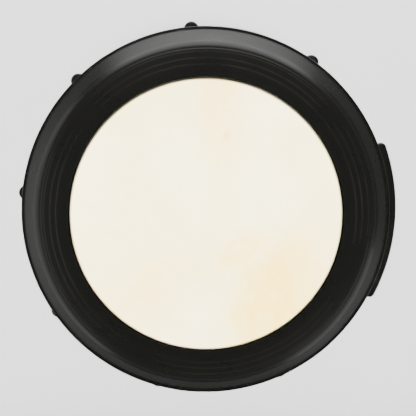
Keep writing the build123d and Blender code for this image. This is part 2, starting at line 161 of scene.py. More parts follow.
def sprayed_film():
    """Lacquer as it dries: a fine orange peel on slow sags, with a few specks of dust caught in it."""
    group, given, out = new_group(
        "sprayed_film",
        [("Peel size", 0.0016), ("Dust", 0.5)],
        [("Height", "NodeSocketFloat"), ("Specks", "NodeSocketFloat"), ("Haze", "NodeSocketFloat")],
    )
    point = own_point(group)
    peel_scale = maths(group, "DIVIDE", 1.0, given.outputs["Peel size"])
    peel = maths(group, "MULTIPLY", noise(group, point, peel_scale), PEEL_SHARE)
    height = maths(group, "ADD", peel, noise(group, point, SAG_SCALE))
    cells = place(group, "ShaderNodeTexVoronoi", {"Vector": point, "Scale": 85.0, "Randomness": 1.0})
    chosen = place(group, "ShaderNodeSeparateColor", {0: cells.outputs["Color"]}).outputs[0]
    most = maths(group, "SUBTRACT", 1.0, maths(group, "MULTIPLY", given.outputs["Dust"], DUST_SHARE))
    rare = maths(group, "GREATER_THAN", chosen, most)
    near = step_between(group, cells.outputs["Distance"], 0.03, 0.055, 1.0, 0.0)
    haze = noise(group, point, 9.0, 5.0, 0.6)
    group.links.new(height, out.inputs["Height"])
    group.links.new(maths(group, "MULTIPLY", rare, near), out.inputs["Specks"])
    group.links.new(haze, out.inputs["Haze"])
    return group


def rubbed_edges():
    """Where an edge stands proud and its finish has been rubbed thin."""
    group, given, out = new_group(
        "rubbed_edges",
        [("Reach", 0.0008), ("Amount", 0.5)],
        [("Mask", "NodeSocketFloat")],
    )
    point = own_point(group)
    flat = place(group, "ShaderNodeNewGeometry").outputs["Normal"]
    eased = place(group, "ShaderNodeBevel", {"Radius": given.outputs["Reach"]}, samples=4).outputs[0]
    agree = vector_maths(group, "DOT_PRODUCT", flat, eased)
    edge = step_between(group, agree, 0.995, 0.93)
    broken = noise(group, point, 60.0, 6.0, 0.7)
    worn = step_between(group, broken, 0.48, 0.62)
    mask = maths(group, "MULTIPLY", maths(group, "MULTIPLY", edge, worn), given.outputs["Amount"])
    group.links.new(mask, out.inputs["Mask"])
    return group


def facing_axis():
    """1 on a surface that looks in at the drum's axis, 0 on one that looks out."""
    group, _given, out = new_group("facing_axis", [], [("Mask", "NodeSocketFloat")])
    point = own_point(group)
    normal = place(group, "ShaderNodeNewGeometry").outputs["Normal"]
    radius, level = axis_distance(group, point)
    outwards = vector_maths(group, "NORMALIZE", level)
    lean = vector_maths(group, "DOT_PRODUCT", normal, outwards)
    group.links.new(step_between(group, lean, 0.05, -0.12), out.inputs["Mask"])
    return group


TURNING_LINES = turning_lines()
SPRAYED_FILM = sprayed_film()
RUBBED_EDGES = rubbed_edges()
FACING_AXIS = facing_axis()


def new_material(name):
    """An empty material with its shader, ready for its nodes."""
    material = bpy.data.materials.new(name)
    material.use_nodes = True
    return material, material.node_tree, material.node_tree.nodes["Principled BSDF"]


def bumped(tree, height, distance, under=None):
    """The surface normal with a bump of this height added to the one under it."""
    inputs = {"Height": height, "Distance": distance, "Strength": 1.0}
    if under is not None:
        inputs["Normal"] = under
    return place(tree, "ShaderNodeBump", inputs).outputs[0]


def lacquered_casting(name, spacing, roughness, wear):
    """Gloss black over a turned casting, matt and grainy where the lathe and the gun don't reach."""
    material, tree, shader = new_material(name)
    film = use_group(tree, SPRAYED_FILM, Peel_size=0.0018, Dust=0.6)
    lines = use_group(tree, TURNING_LINES, Spacing=spacing, Wander=0.0006)
    worn = use_group(tree, RUBBED_EDGES, Reach=0.0009, Amount=wear).outputs["Mask"]
    inside = use_group(tree, FACING_AXIS).outputs["Mask"]
    point = own_point(tree)
    grain = noise(tree, point, 700.0, 3.0, 0.7)
    pits = place(tree, "ShaderNodeTexVoronoi", {"Vector": point, "Scale": 240.0}).outputs["Distance"]

    overspray = step_between(tree, film.outputs["Haze"], 0.42, 0.66)
    inner_colour = blend_colours(tree, overspray, LACQUER_BLACK, INSIDE_GREY)
    colour = blend_colours(tree, inside, LACQUER_BLACK, inner_colour)
    colour = blend_colours(tree, worn, colour, LACQUER_WORN)
    colour = blend_colours(tree, maths(tree, "MULTIPLY", film.outputs["Specks"], 0.5), colour, LACQUER_DUST)
    tree.links.new(colour, shader.inputs["Base Color"])

    outer_rough = step_between(tree, film.outputs["Haze"], 0.3, 0.7, roughness - 0.05, roughness + 0.09)
    rough = maths(tree, "ADD", outer_rough, maths(tree, "MULTIPLY", inside, 0.32))
    rough = maths(tree, "ADD", rough, maths(tree, "MULTIPLY", worn, 0.25))
    tree.links.new(rough, shader.inputs["Roughness"])

    outside = maths(tree, "SUBTRACT", 1.0, inside)
    normal = bumped(tree, maths(tree, "MULTIPLY", lines.outputs["Height"], outside), SHALLOW_BUMP)
    normal = bumped(tree, film.outputs["Height"], FILM_BUMP, under=normal)
    sand = maths(tree, "MULTIPLY", maths(tree, "ADD", grain, maths(tree, "MULTIPLY", pits, 0.8)), inside)
    normal = bumped(tree, sand, SAND_BUMP, under=normal)
    tree.links.new(normal, shader.inputs["Normal"])
    shader.inputs["Specular IOR Level"].default_value = LACQUER_SHEEN
    return material


def finish_node(name, material):
    """A CAD piece that keeps its own shape takes this material all over."""
    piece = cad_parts[name]
    for index in range(len(piece.material_slots)):
        piece.material_slots[index].material = material
    return piece


finish_node("foot_bell", lacquered_casting("foot_lacquer", spacing=0.0022, roughness=0.2, wear=0.5))


# ------------------------------------------------------------------------------------------------
# Foot rubber. A black channel moulded as a strip, joined into a ring and pressed over the edge of
# the foot, so that the casting doesn't grind on the floor. It is matt, and grey with dust low down.

RUBBER_BLACK = (0.019, 0.019, 0.0185, 1.0)
RUBBER_DUSTY = (0.095, 0.09, 0.082, 1.0)
RUBBER_DUST_HEIGHT = 0.006


def moulded_rubber():
    """Black rubber with the satin grain of its mould, and floor dust worked into its lower edge."""
    material, tree, shader = new_material("moulded_rubber")
    point = own_point(tree)
    height = place(tree, "ShaderNodeSeparateXYZ", {0: point}).outputs["Z"]
    mottle = noise(tree, point, 55.0, 6.0, 0.65)
    grain = noise(tree, point, 1600.0, 2.0)
    low = step_between(tree, height, RUBBER_DUST_HEIGHT, 0.0)
    dust = maths(tree, "MULTIPLY", low, step_between(tree, mottle, 0.42, 0.68))
    worn = use_group(tree, RUBBED_EDGES, Reach=0.0015, Amount=0.6).outputs["Mask"]
    dust = maths(tree, "MAXIMUM", dust, maths(tree, "MULTIPLY", worn, 0.6))
    tree.links.new(blend_colours(tree, dust, RUBBER_BLACK, RUBBER_DUSTY), shader.inputs["Base Color"])
    tree.links.new(step_between(tree, mottle, 0.3, 0.7, 0.58, 0.78), shader.inputs["Roughness"])
    normal = bumped(tree, grain, 0.00005)
    tree.links.new(bumped(tree, mottle, 0.0002, under=normal), shader.inputs["Normal"])
    shader.inputs["Specular IOR Level"].default_value = 0.35
    return material


finish_node("foot_rubber", moulded_rubber())


# ------------------------------------------------------------------------------------------------
# Bowl casting. One aluminium casting from the neck up to the bearing edge, with a flange whose nine
# ears take the tension bolts. Turned outside, rubbed down and sprayed the same gloss black.

finish_node("bowl", lacquered_casting("bowl_lacquer", spacing=0.0026, roughness=0.17, wear=0.55))


# ------------------------------------------------------------------------------------------------
# Throat ring. A turned aluminium ring with two beads, slipped over the seam of the two castings. It
# is lacquered with the drum, and its beads have been rubbed by stands and hands.

finish_node("throat_ring", lacquered_casting("ring_lacquer", spacing=0.0009, roughness=0.16, wear=0.9))


# ------------------------------------------------------------------------------------------------
# Throat screws. Six M4 button-head screws, blacked steel, driven through the ring and the bowl into
# the foot's spigot. The blacking is oily and thin, with bare steel showing round the sockets.

BLACKED_STEEL = (0.035, 0.035, 0.037, 1.0)
OILY_STEEL = (0.06, 0.055, 0.05, 1.0)
BARE_STEEL = (0.36, 0.345, 0.32, 1.0)
SCREW_COUNT = 6


def blacked_steel():
    """Steel blacked in a hot bath: dark, a little blue, and worn bright on its corners."""
    material, tree, shader = new_material("blacked_steel")
    point = own_point(tree)
    cloud = noise(tree, point, 420.0, 5.0, 0.6)
    scratches = noise(tree, point, 2600.0, 2.0)
    worn = use_group(tree, RUBBED_EDGES, Reach=0.0004, Amount=0.9).outputs["Mask"]
    base = blend_colours(tree, step_between(tree, cloud, 0.35, 0.7), BLACKED_STEEL, OILY_STEEL)
    tree.links.new(blend_colours(tree, worn, base, BARE_STEEL), shader.inputs["Base Color"])
    tree.links.new(step_between(tree, cloud, 0.3, 0.75, 0.28, 0.46), shader.inputs["Roughness"])
    tree.links.new(bumped(tree, scratches, 0.00002), shader.inputs["Normal"])
    shader.inputs["Metallic"].default_value = 1.0
    return material


BOLT_FINISH = blacked_steel()
for number in range(1, SCREW_COUNT + 1):
    finish_node(f"throat_screw_{number}", BOLT_FINISH)


# ------------------------------------------------------------------------------------------------
# Flesh hoop. A square ring of plain steel. The wet skin is lapped round it and shrinks on as it
# dries, so only its corners could show where the lap ends.

HOOP_STEEL = (0.5, 0.49, 0.47, 1.0)
HOOP_RUST = (0.2, 0.09, 0.04, 1.0)


def drawn_steel():
    """Plain drawn steel with a few brown freckles from the wet skin."""
    material, tree, shader = new_material("drawn_steel")
    point = own_point(tree)
    lines = use_group(tree, TURNING_LINES, Spacing=0.0005, Wander=0.0002)
    freckles = noise(tree, point, 160.0, 7.0, 0.75)
    rust = step_between(tree, freckles, 0.58, 0.7)
    tree.links.new(blend_colours(tree, rust, HOOP_STEEL, HOOP_RUST), shader.inputs["Base Color"])
    tree.links.new(step_between(tree, rust, 0.0, 1.0, 0.3, 0.75), shader.inputs["Roughness"])
    tree.links.new(step_between(tree, rust, 0.0, 1.0, 1.0, 0.2), shader.inputs["Metallic"])
    tree.links.new(bumped(tree, lines.outputs["Height"], 0.00003), shader.inputs["Normal"])
    return material


finish_node("flesh_hoop", drawn_steel())


# ------------------------------------------------------------------------------------------------
# Skin. One scraped goat skin, soaked, lapped round the hoop and dried on it. It lies flat over the
# bearing edge, comes down inside the rim and puckers where it is tucked round the hoop. It is cream,
# with the amber stains and the grain of the animal's back showing through.

SKIN_CREAM = (0.90, 0.72, 0.34, 1.0)
SKIN_PALE = (0.96, 0.82, 0.46, 1.0)
SKIN_AMBER = (0.86, 0.42, 0.03, 1.0)
SKIN_TAN = (0.95, 0.60, 0.07, 1.0)
SKIN_BEND_SHADE = (0.03, 0.027, 0.018, 1.0)  # painted shade, where it turns down out of the light
SKIN_THICKNESS = 0.0006
SKIN_STEPS = 288
BEARING_BEND = 0.00315  # outside of the bend over the bearing edge
HOOP_FOLD = 0.001  # bend where it comes down onto the hoop
LAP_CORNER = 0.00165
SKIN_HANG = 0.0154  # top of the head down to the skin on the hoop
LAP_WIDTH = 0.0073
LAP_DROP = 0.0073
TUCK_RISE = 0.004
PUCKER = 0.0005
PUCKER_LENGTH = 0.009


def arc(centre, radius, start, end, pieces):
    """Points on an arc in the section plane, angles in degrees."""
    angles = [math.radians(start + (end - start) * k / pieces) for k in range(pieces + 1)]
    return [(centre[0] + radius * math.cos(a), centre[1] + radius * math.sin(a)) for a in angles]


def deselect_all():
    """Leaves nothing selected, in object mode."""
    if bpy.context.object and bpy.context.object.mode != "OBJECT":
        bpy.ops.object.mode_set(mode="OBJECT")
    bpy.ops.object.select_all(action="DESELECT")


def draw_section(name, points):
    """A chain of edges through points in the section plane, extruded from one vertex."""
    deselect_all()
    bpy.ops.mesh.primitive_plane_add(size=0.001, location=(0, 0, 0))
    piece = bpy.context.object
    piece.name = piece.data.name = name
    bpy.ops.object.mode_set(mode="EDIT")
    bpy.ops.mesh.select_all(action="SELECT")
    bpy.ops.mesh.merge(type="CENTER")
    bpy.ops.transform.translate(value=(points[0][0], 0, points[0][1]))
    last = points[0]
    for point in points[1:]:
        move = (point[0] - last[0], 0, point[1] - last[1])
        bpy.ops.mesh.extrude_vertices_move(TRANSFORM_OT_translate={"value": move})
        last = point
    return piece


def spin_section(piece, steps, sharp=30):
    """The section in edit mode swept once round the drum's axis, merged and turned outwards."""
    bpy.ops.mesh.select_all(action="SELECT")
    bpy.ops.mesh.spin(steps=steps, angle=math.tau, center=(0, 0, 0), axis=(0, 0, 1))
    bpy.ops.mesh.select_all(action="SELECT")
    bpy.ops.mesh.remove_doubles(threshold=0.000005)
    bpy.ops.mesh.normals_make_consistent(inside=False)
    bpy.ops.object.mode_set(mode="OBJECT")
    bpy.ops.object.shade_smooth_by_angle(angle=math.radians(sharp))
    return piece


def apply_modifier(piece, kind, **settings):
    """One modifier added to the piece and applied."""
    bpy.context.view_layer.objects.active = piece
    modifier = piece.modifiers.new(kind.lower(), kind)
    for key, value in settings.items():
        setattr(modifier, key, value)
    bpy.ops.object.modifier_apply(modifier=modifier.name)


def skin_section():
    """The skin's outer face from the middle of the head to the tucked end, in (radius, height)."""
    low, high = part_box("skin")
    top, lap_out = high.z, high.x
    level = top - SKIN_HANG
    fold = (lap_out - LAP_WIDTH, level + HOOP_FOLD)
    bend = (fold[0] - HOOP_FOLD - BEARING_BEND, top - BEARING_BEND)
    lap_low = low.z
    flat = [(bend[0] * k / 24, top) for k in range(24)]
    corner_top = (lap_out - LAP_CORNER, level - LAP_CORNER)
    corner_low = (lap_out - LAP_CORNER, lap_low + LAP_CORNER)
    corner_in = (fold[0] + LAP_CORNER - SKIN_THICKNESS / 2, lap_low + LAP_CORNER)
    points = flat + arc(bend, BEARING_BEND, 90, 0, 10) + arc(fold, HOOP_FOLD, 180, 270, 5)
    points += arc(corner_top, LAP_CORNER, 90, 0, 5) + arc(corner_low, LAP_CORNER, 0, -90, 5)
    points += arc(corner_in, LAP_CORNER, -90, -180, 5)
    points.append((points[-1][0], lap_low + LAP_CORNER + TUCK_RISE))
    return points


def drum_skin():
    """The skin as one sheet with puckers in its lap, given its thickness last."""
    piece = spin_section(draw_section("goat_skin", skin_section()), SKIN_STEPS, sharp=50)
    lap = piece.vertex_groups.new(name="lap")
    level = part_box("skin")[1].z - SKIN_HANG - LAP_CORNER
    lap.add([v.index for v in piece.data.vertices if v.co.z < level], 1.0, "REPLACE")
    puckers = bpy.data.textures.new("puckers", "CLOUDS")
    puckers.noise_scale = PUCKER_LENGTH
    apply_modifier(piece, "DISPLACE", texture=puckers, strength=PUCKER, mid_level=0.85, vertex_group="lap")
    apply_modifier(piece, "SOLIDIFY", thickness=SKIN_THICKNESS, offset=-1.0)
    return piece


def stain(tree, point, centre, size, turn, edge, ragged):
    """A soft stain: an oval of this half-size about centre, its outline broken by noise."""
    turned = {0: point, 1: centre, 2: (0, 0, math.radians(turn)), 3: size}
    placed = place(tree, "ShaderNodeMapping", turned, vector_type="TEXTURE")
    broken = noise(tree, point, ragged, 5.0, 0.6)
    flat = vector_maths(tree, "MULTIPLY", placed.outputs[0], (1, 1, 0))
    reach = vector_maths(tree, "LENGTH", flat)
    reach = maths(tree, "ADD", reach, maths(tree, "MULTIPLY", maths(tree, "SUBTRACT", broken, 0.5), 1.1))
    return step_between(tree, reach, 1.0 + edge, 1.0 - edge)


def goat_skin():
    """Dried goat skin: cream, faintly clouded, with amber stains, pores and the odd fine vein."""
    material, tree, shader = new_material("goat_skin")
    point = own_point(tree)
    clouds = noise(tree, point, 11.0, 4.0, 0.55)
    mottle = noise(tree, point, 70.0, 6.0, 0.65)
    colour = blend_colours(tree, step_between(tree, clouds, 0.35, 0.68), SKIN_PALE, SKIN_CREAM)

    spine = stain(tree, point, (0.012, 0.095, 0), (0.022, 0.075, 1), 4, 0.55, 24.0)
    patch = stain(tree, point, (0.066, -0.082, 0), (0.034, 0.062, 1), -32, 0.5, 30.0)
    trail = stain(tree, point, (0.034, -0.034, 0), (0.014, 0.026, 1), -52, 0.5, 60.0)
    low_left = stain(tree, point, (-0.075, -0.075, 0), (0.05, 0.05, 1), 20, 0.7, 18.0)
    stains = [
        (spine, 0.42, SKIN_TAN),
        (patch, 0.85, SKIN_TAN),
        (trail, 0.6, SKIN_TAN),
        (low_left, 0.25, SKIN_TAN),
    ]
    spots = [
        (0.021, 0.081, 0.0045, 0.42),
        (0.007, 0.104, 0.003, 0.3),
        (0.041, -0.06, 0.005, 0.3),
        (0.012, 0.05, 0.0035, 0.2),
    ]
    for x, y, size, strength in spots:
        spot = stain(tree, point, (x, y, 0), (size, size * 1.2, 1), 0, 0.6, 160.0)
        stains.append((spot, strength, SKIN_AMBER))
    for mask, strength, tint in stains:
        flecked = maths(tree, "MULTIPLY", mask, step_between(tree, mottle, 0.2, 0.72, 0.45, 1.0))
        colour = blend_colours(tree, maths(tree, "MULTIPLY", flecked, strength), colour, tint)

    warp = place(tree, "ShaderNodeTexNoise", {"Vector": point, "Scale": 26.0, "Detail": 3.0}).outputs["Color"]
    bent = vector_maths(tree, "MULTIPLY_ADD", warp, (0.03, 0.03, 0.0), point)
    cells = place(tree, "ShaderNodeTexVoronoi", {"Vector": bent, "Scale": 26.0}, feature="DISTANCE_TO_EDGE")
    web = cells.outputs["Distance"]
    vein = maths(tree, "MULTIPLY", step_between(tree, web, 0.035, 0.0), step_between(tree, clouds, 0.5, 0.72))
    colour = blend_colours(tree, maths(tree, "MULTIPLY", vein, 0.1), colour, SKIN_AMBER)
    follicles = place(tree, "ShaderNodeTexVoronoi", {"Vector": point, "Scale": 620.0}).outputs["Distance"]
    pores = step_between(tree, follicles, 0.16, 0.05)
    pores = maths(tree, "MULTIPLY", pores, step_between(tree, mottle, 0.38, 0.62))
    colour = blend_colours(tree, maths(tree, "MULTIPLY", pores, 0.22), colour, SKIN_TAN)

    # Painted shade: near the bend over the bearing edge the skin's colour is taken almost to black, standing
    # in for the shade where it turns down out of the light.
    radius, _ = axis_distance(tree, point)
    bend_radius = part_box("skin")[1].x - LAP_WIDTH - HOOP_FOLD
    edge = step_between(tree, radius, bend_radius - 0.0028, bend_radius - 0.0002)
    colour = blend_colours(tree, edge, colour, SKIN_BEND_SHADE)
    tree.links.new(colour, shader.inputs["Base Color"])

    tree.links.new(step_between(tree, mottle, 0.3, 0.7, 0.46, 0.6), shader.inputs["Roughness"])
    fibres = noise(tree, point, 900.0, 4.0, 0.7)
    normal = bumped(tree, fibres, 0.00003)
    normal = bumped(tree, pores, 0.00004, under=normal)
    normal = bumped(tree, clouds, 0.0006, under=normal)
    tree.links.new(normal, shader.inputs["Normal"])
    shader.inputs["Specular IOR Level"].default_value = 0.3
    shader.inputs["Subsurface Weight"].default_value = 0.12
    shader.inputs["Subsurface Radius"].default_value = (0.004, 0.0025, 0.0012)
    shader.inputs["Subsurface Scale"].default_value = 1.0
    return material


head_skin = drum_skin()
head_skin.data.materials.append(goat_skin())
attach(head_skin, "shell")
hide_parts("skin")


# ------------------------------------------------------------------------------------------------
# Thread bushes. Nine steel bushes, tapped M6 inside and zinc plated, pressed into the rim's base so
# that the bolts don't run in soft aluminium.

BOLT_COUNT = 9
ZINC_STRAW = (0.6, 0.55, 0.42, 1.0)
ZINC_PALE = (0.52, 0.5, 0.47, 1.0)


def zinc_plate():
    """Yellow-passivated zinc, patchy, on turned steel."""
    material, tree, shader = new_material("zinc_plate")
    point = own_point(tree)
    patches = noise(tree, point, 300.0, 4.0)
    tint = blend_colours(tree, step_between(tree, patches, 0.35, 0.65), ZINC_STRAW, ZINC_PALE)
    tree.links.new(tint, shader.inputs["Base Color"])
    tree.links.new(step_between(tree, patches, 0.3, 0.7, 0.25, 0.42), shader.inputs["Roughness"])
    tree.links.new(bumped(tree, patches, 0.00003), shader.inputs["Normal"])
    shader.inputs["Metallic"].default_value = 1.0
    return material


BUSH_FINISH = zinc_plate()
for number in range(1, BOLT_COUNT + 1):
    finish_node(f"thread_bush_{number}", BUSH_FINISH)


# ------------------------------------------------------------------------------------------------
# Rim. A heavy aluminium ring, cast and then turned all over: a neck that presses on the hoop, a wide
# gently crowned face, a rounded edge, a steep skirt and a thick base that holds the bushes. Sprayed
# gloss black and polished, so that faint rings from the lathe show in the reflections.

RIM_STEPS = 320
RIM_FACE_WIDTH = 0.0335
RIM_FACE_DROP = 0.009
RIM_FACE_CROWN = 0.0007
RIM_SKIRT_WIDTH = 0.0142
RIM_SKIRT_DROP = 0.022
RIM_STEP = 0.0028
RIM_NECK_DROP = 0.01435
RIM_NECK_WIDTH = 0.0066
RIM_BASE_WIDTH = 0.0158
RIM_WALL = 0.005
RIM_LIP_ROUND = 0.0009
RIM_EDGE_ROUND = 0.013
RIM_BAND_ROUND = 0.0012
RIM_BASE_ROUND = 0.0008
FACE_POINTS = 60
TOOL_MARK = 0.00002
TOOL_MARK_HALF = 0.006  # of the face's width
TOOL_MARK_PLACES = (0.36, 0.43, 0.6, 0.78)  # across the face, from the lip
RIM_DUST = (0.025, 0.023, 0.02, 1.0)
LIGHTER_FACE_RINGS = (0.1508, 0.157, 0.1635)  # radii on the face, by the tool marks, where thin rings are painted a lighter grey
RING_STRENGTH = 0.4
LIP_BELOW_SKIN = 0.001
BUSH_HOLE = 0.00452
BUSH_DEPTH = 0.0141


def rounded_corner(before, corner, after, radius, pieces):
    """Points of the arc that rounds a corner of a section."""
    here = Vector(corner)
    back, ahead = (Vector(before) - here).normalized(), (Vector(after) - here).normalized()
    half = back.angle(ahead) / 2
    centre = here + (back + ahead).normalized() * (radius / math.sin(half))
    run = radius / math.tan(half)
    start, end = here + back * run - centre, here + ahead * run - centre
    turn = start.angle_signed(end)
    first = math.atan2(start.y, start.x)
    angles = [first - turn * k / pieces for k in range(pieces + 1)]
    return [(centre.x + radius * math.cos(a), centre.y + radius * math.sin(a)) for a in angles]


def crowned_face(lip, edge):
    """The face from the lip to its edge, crowned, with a shallow mark where the tool paused."""
    points = []
    for k in range(1, FACE_POINTS):
        share = k / FACE_POINTS
        crown = RIM_FACE_CROWN * 4 * share * (1 - share)
        marked = any(abs(share - middle) < TOOL_MARK_HALF for middle in TOOL_MARK_PLACES)
        raised = crown - TOOL_MARK if marked else crown
        points.append((lip[0] + (edge[0] - lip[0]) * share, lip[1] + (edge[1] - lip[1]) * share + raised))
    return points


def rim_section():
    """The rim's closed section in (radius, height), from the neck's foot round to where it began."""
    low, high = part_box("rim")
    outer, base = high.x, low.z
    lip_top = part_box("skin")[1].z - LIP_BELOW_SKIN
    bore = outer - RIM_STEP - RIM_SKIRT_WIDTH - RIM_FACE_WIDTH
    neck_foot, neck_out = lip_top - RIM_NECK_DROP, bore + RIM_NECK_WIDTH
    lip, edge = (bore, lip_top), (bore + RIM_FACE_WIDTH, lip_top - RIM_FACE_DROP)
    skirt = (edge[0] + RIM_SKIRT_WIDTH, edge[1] - RIM_SKIRT_DROP)
    band = (outer, skirt[1])
    inner = outer - RIM_BASE_WIDTH
    under_edge = (edge[0] - RIM_WALL * 0.7, edge[1] - RIM_WALL)
    under_lip = (neck_out, lip_top - RIM_WALL * 1.4)
    points = [(neck_out, neck_foot), (bore, neck_foot)]
    points += rounded_corner((bore, neck_foot), lip, edge, RIM_LIP_ROUND, 6)
    turn = rounded_corner(lip, edge, skirt, RIM_EDGE_ROUND, 16)
    points += [point for point in crowned_face(lip, edge)[4:] if point[0] < turn[0][0] - 0.0004]
    points += turn
    points += [tuple(Vector(turn[-1]).lerp(Vector(skirt), k / 6)) for k in range(1, 6)]
    points += [skirt]
    points += rounded_corner(skirt, band, (outer, base), RIM_BAND_ROUND, 6)
    points += rounded_corner(band, (outer, base), (inner, base), RIM_BASE_ROUND, 4)
    points += [(inner, base), (inner, skirt[1] - 0.001), under_edge, under_lip, (neck_out, neck_foot)]
    return points


def turned_rim():
    """The rim, spun from its section and bored for the nine bushes."""
    piece = spin_section(draw_section("turned_rim", rim_section()), RIM_STEPS, sharp=22)
    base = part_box("rim")[0].z
    drills = []
    for number in range(1, BOLT_COUNT + 1):
        low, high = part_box(f"thread_bush_{number}")
        centre = (low + high) / 2
        deselect_all()
        bpy.ops.mesh.primitive_cylinder_add(
            vertices=32, radius=BUSH_HOLE, depth=2 * BUSH_DEPTH, location=(centre.x, centre.y, base),
        )
        drills.append(bpy.context.object)
    for drill in drills:
        drill.select_set(True)
    bpy.ops.object.join()
    drill = bpy.context.object
    deselect_all()
    apply_modifier(piece, "BOOLEAN", operation="DIFFERENCE", object=drill, solver="EXACT")
    bpy.data.objects.remove(drill)
    return piece


def polished_lacquer():
    """Deep gloss black over turned metal, with lathe rings that only the light picks out."""
    material, tree, shader = new_material("polished_lacquer")
    film = use_group(tree, SPRAYED_FILM, Peel_size=0.0022, Dust=0.35)
    broad = use_group(tree, TURNING_LINES, Spacing=0.0032, Wander=0.0005)
    fine = use_group(tree, TURNING_LINES, Spacing=0.0006, Wander=0.0002)
    worn = use_group(tree, RUBBED_EDGES, Reach=0.0007, Amount=0.3).outputs["Mask"]
    colour = blend_colours(tree, worn, LACQUER_BLACK, LACQUER_WORN)
    colour = blend_colours(tree, maths(tree, "MULTIPLY", film.outputs["Specks"], 0.6), colour, RIM_DUST)
    reach, _ = axis_distance(tree, own_point(tree))
    patchy = step_between(tree, film.outputs["Haze"], 0.4, 0.6, 0.15, 1.0)
    # Thin rings at these radii are painted a lighter grey, patchy with the haze.
    for ring in LIGHTER_FACE_RINGS:
        gap = maths(tree, "ABSOLUTE", maths(tree, "SUBTRACT", reach, ring))
        line = step_between(tree, gap, 0.0002, 0.0007, RING_STRENGTH, 0.0)
        colour = blend_colours(tree, maths(tree, "MULTIPLY", line, patchy), colour, LACQUER_WORN)
    tree.links.new(colour, shader.inputs["Base Color"])
    rough = step_between(tree, film.outputs["Haze"], 0.3, 0.7, 0.2, 0.3)
    rough = maths(tree, "ADD", rough, maths(tree, "MULTIPLY", fine.outputs["Height"], 0.06))
    tree.links.new(rough, shader.inputs["Roughness"])
    normal = bumped(tree, broad.outputs["Height"], SHALLOW_BUMP)
    normal = bumped(tree, fine.outputs["Height"], 0.000012, under=normal)
    normal = bumped(tree, film.outputs["Height"], 0.00003, under=normal)
    tree.links.new(normal, shader.inputs["Normal"])
    shader.inputs["Specular IOR Level"].default_value = LACQUER_SHEEN
    return material


rim = turned_rim()
rim.data.materials.append(polished_lacquer())
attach(rim, "rim")
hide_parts("rim")


# ------------------------------------------------------------------------------------------------
# Bolt washers. Nine plain M6 washers, punched from blacked steel, that spread the load of each bolt
# head on its ear.

for number in range(1, BOLT_COUNT + 1):
    finish_node(f"bolt_washer_{number}", BOLT_FINISH)


# ------------------------------------------------------------------------------------------------
# Tension bolts. Nine M6 hexagon bolts, forged and thread-rolled from steel and blacked. They come up
# through the ears into the bushes, and a spanner on their heads pulls the rim down to tune the skin.

THREAD_PITCH = 0.001
THREAD_CREST = 0.003
THREAD_ROOT = 0.00244
THREAD_STEPS = 18
HEAD_HEIGHT = 0.0042
HEAD_CORNER = 0.010 / math.sqrt(3)
HEAD_CHAMFER = 0.0008
HEAD_LAND = 0.0021  # flat ring left round the dish
HEAD_DISH = 0.0005
HEAD_DISH_SLOPE = 0.0006
HEAD_BEVEL = 0.00018
TIP_CHAMFER = 0.0008
TIP_CONE = 0.03  # height of the cone that trims the tip, more than the shank's


def threaded_shank(bottom, top):
    """A rolled thread from bottom to top on the Z axis, closed at both ends."""
    turns = math.ceil((top - bottom) / THREAD_PITCH) + 2
    crest = THREAD_PITCH / 8
    begin = bottom - THREAD_PITCH
    section = [
        (THREAD_ROOT, begin),
        (THREAD_CREST, begin + THREAD_PITCH / 2 - crest / 2),
        (THREAD_CREST, begin + THREAD_PITCH / 2 + crest / 2),
        (THREAD_ROOT, begin + THREAD_PITCH),
    ]
    piece = draw_section("threaded_shank", section)
    bpy.ops.object.mode_set(mode="OBJECT")
    apply_modifier(
        piece, "SCREW", axis="Z", angle=math.tau, screw_offset=THREAD_PITCH, iterations=turns,
        steps=THREAD_STEPS, render_steps=THREAD_STEPS, use_merge_vertices=True, merge_threshold=0.000002,
    )
    bpy.ops.object.mode_set(mode="EDIT")
    bpy.ops.mesh.select_all(action="SELECT")
    bpy.ops.mesh.remove_doubles(threshold=0.000002)
    for height, below in ((bottom, True), (top, False)):
        bpy.ops.mesh.select_all(action="SELECT")
        bpy.ops.mesh.bisect(
            plane_co=(0, 0, height), plane_no=(0, 0, 1), use_fill=True,
            clear_inner=below, clear_outer=not below,
        )
    bpy.ops.mesh.select_all(action="SELECT")
    bpy.ops.mesh.normals_make_consistent(inside=False)
    bpy.ops.object.mode_set(mode="OBJECT")
    return piece


def hexagon_head(bottom, top):
    """A forged head: a hexagon with its lower corners turned off and a shallow dish in the middle."""
    deselect_all()
    middle = (bottom + top) / 2
    bpy.ops.mesh.primitive_cylinder_add(
        vertices=6, radius=HEAD_CORNER, depth=top - bottom, location=(0, 0, middle),
    )
    piece = bpy.context.object
    piece.name = piece.data.name = "hexagon_head"
    bpy.ops.object.transform_apply(location=True)
    bpy.ops.object.mode_set(mode="EDIT")
    bpy.ops.mesh.select_all(action="DESELECT")
    bpy.ops.object.mode_set(mode="OBJECT")
    for face in piece.data.polygons:
        face.select = face.normal.z < -0.9
    bpy.ops.object.mode_set(mode="EDIT")
    bpy.ops.mesh.inset(thickness=HEAD_LAND, depth=0)
    bpy.ops.mesh.inset(thickness=HEAD_DISH_SLOPE, depth=-HEAD_DISH)
    bpy.ops.object.mode_set(mode="OBJECT")
    deselect_all()
    narrow = HEAD_CORNER - HEAD_CHAMFER
    spread = (top - bottom) * 1.7
    bpy.ops.mesh.primitive_cone_add(
        vertices=64, radius1=narrow, radius2=narrow + spread, depth=top - bottom, location=(0, 0, middle),
    )
    cone = bpy.context.object
    deselect_all()
    apply_modifier(piece, "BOOLEAN", operation="INTERSECT", object=cone, solver="EXACT")
    bpy.data.objects.remove(cone)
    apply_modifier(
        piece, "BEVEL", width=HEAD_BEVEL, segments=2, limit_method="ANGLE", angle_limit=math.radians(25),
    )
    return piece


